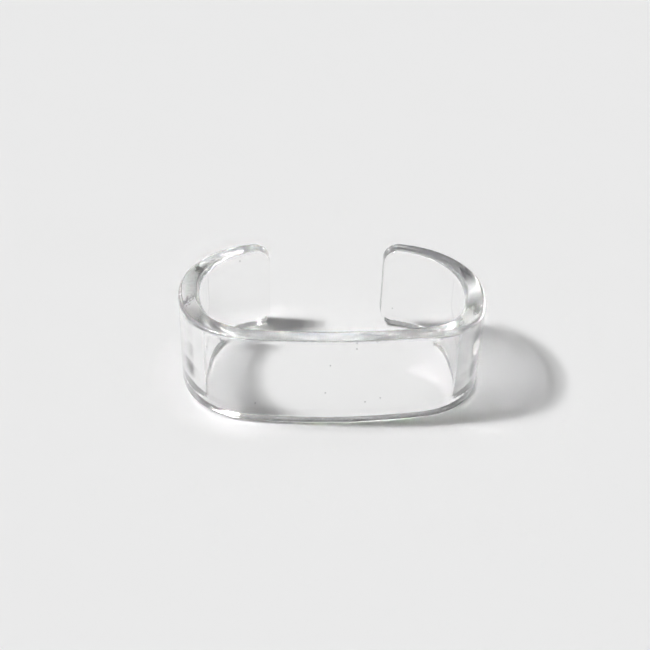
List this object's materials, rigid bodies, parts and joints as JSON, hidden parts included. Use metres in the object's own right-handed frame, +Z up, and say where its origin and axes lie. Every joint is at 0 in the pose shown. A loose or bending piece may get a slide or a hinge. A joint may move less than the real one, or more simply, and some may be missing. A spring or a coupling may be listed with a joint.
{
  "type": "cuff bracelet",
  "caption": "Open oval cuff bracelet: one thick band of clear acrylic with rounded edges, nearly flat in front, with an opening at the back.",
  "frame": {"origin": "on the surface that the cuff lies on, under the middle of its outline", "axes": "+X across the wrist, +Y towards the opening at the back, +Z up, square to the surface it lies on"},
  "size_m": [0.066, 0.0418, 0.0206],
  "materials": {
    "clear_acrylic": "water-clear acrylic, flame-polished, with faint waviness and fine wear along the rounded edges"
  },
  "bodies": {
    "root": {"cuff_band": "clear_acrylic"}
  },
  "joints": []
}
